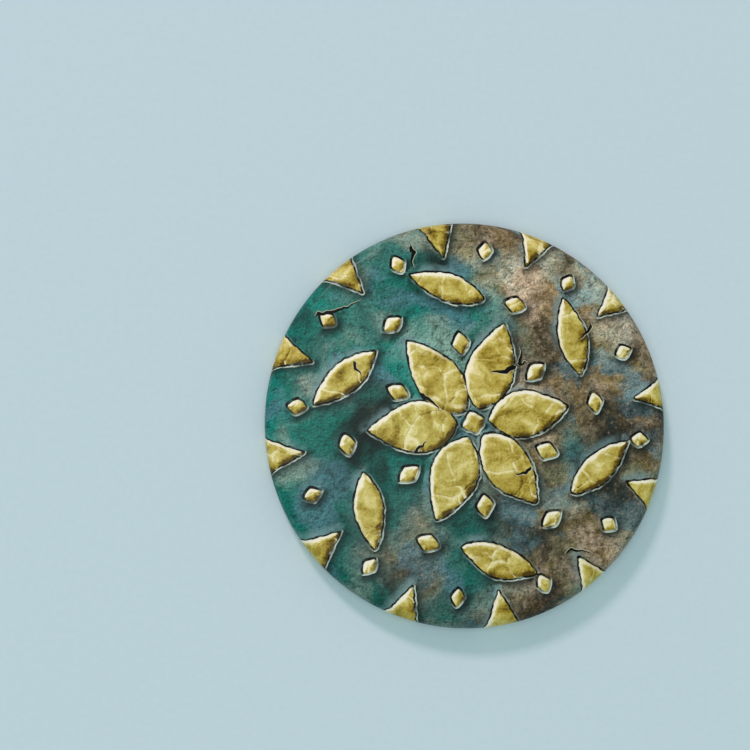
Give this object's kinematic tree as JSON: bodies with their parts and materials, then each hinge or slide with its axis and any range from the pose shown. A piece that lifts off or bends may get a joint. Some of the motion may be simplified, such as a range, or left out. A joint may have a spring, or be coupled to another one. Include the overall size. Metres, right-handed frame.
{
  "type": "pin-back button badge",
  "caption": "Round pressed-tin button badge with a domed printed face, a rolled edge, a recessed back and a sprung wire pin.",
  "frame": {"origin": "centre of the flat land of the back bead, which the badge rests on when it lies face up", "axes": "+Z out of the printed face, +X along the pin from its coil to its point, +Y towards the top of the print, where the pin sits"},
  "size_m": [0.058, 0.058, 0.0071],
  "materials": {
    "printed_film": "clear film over print in verdigris green and old gold",
    "tinplate": "satin tinned steel",
    "spring_wire": "bright nickel-plated wire"
  },
  "bodies": {
    "badge": {"front_shell": "tinplate", "printed_cover": "printed_film", "back_plate": "tinplate", "pin_wire": "spring_wire"},
    "pin_arm": {"pin_arm": "spring_wire"}
  },
  "joints": [
    {"name": "pin_swing", "type": "hinge", "parent": "badge", "child": "pin_arm", "pos_m": [-0.01607, 0.009, 0.00211], "axis": [0, 0.2164, -0.9763], "range_deg": [0, 45], "stiffness_Nm_per_rad": 0.005}
  ]
}
